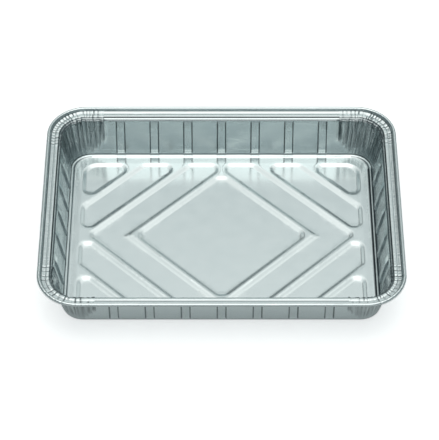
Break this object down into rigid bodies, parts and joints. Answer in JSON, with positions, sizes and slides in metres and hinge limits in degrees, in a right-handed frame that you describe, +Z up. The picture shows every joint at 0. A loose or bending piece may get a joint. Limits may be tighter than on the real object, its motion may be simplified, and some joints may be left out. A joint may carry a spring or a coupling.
{
  "type": "aluminium foil tray",
  "caption": "Shallow rectangular foil tray with sloping ribbed walls, gathered corners, a rolled rim and a floor stiffened by slanting ribs.",
  "frame": {"origin": "centre of the underside, on the surface that the tray stands on", "axes": "+X along the tray's length, +Y along its width, +Z up out of the open top"},
  "size_m": [0.32, 0.247, 0.045],
  "materials": {
    "foil": "bright rolled foil"
  },
  "bodies": {
    "root": {"foil_tray": "foil"}
  },
  "joints": []
}
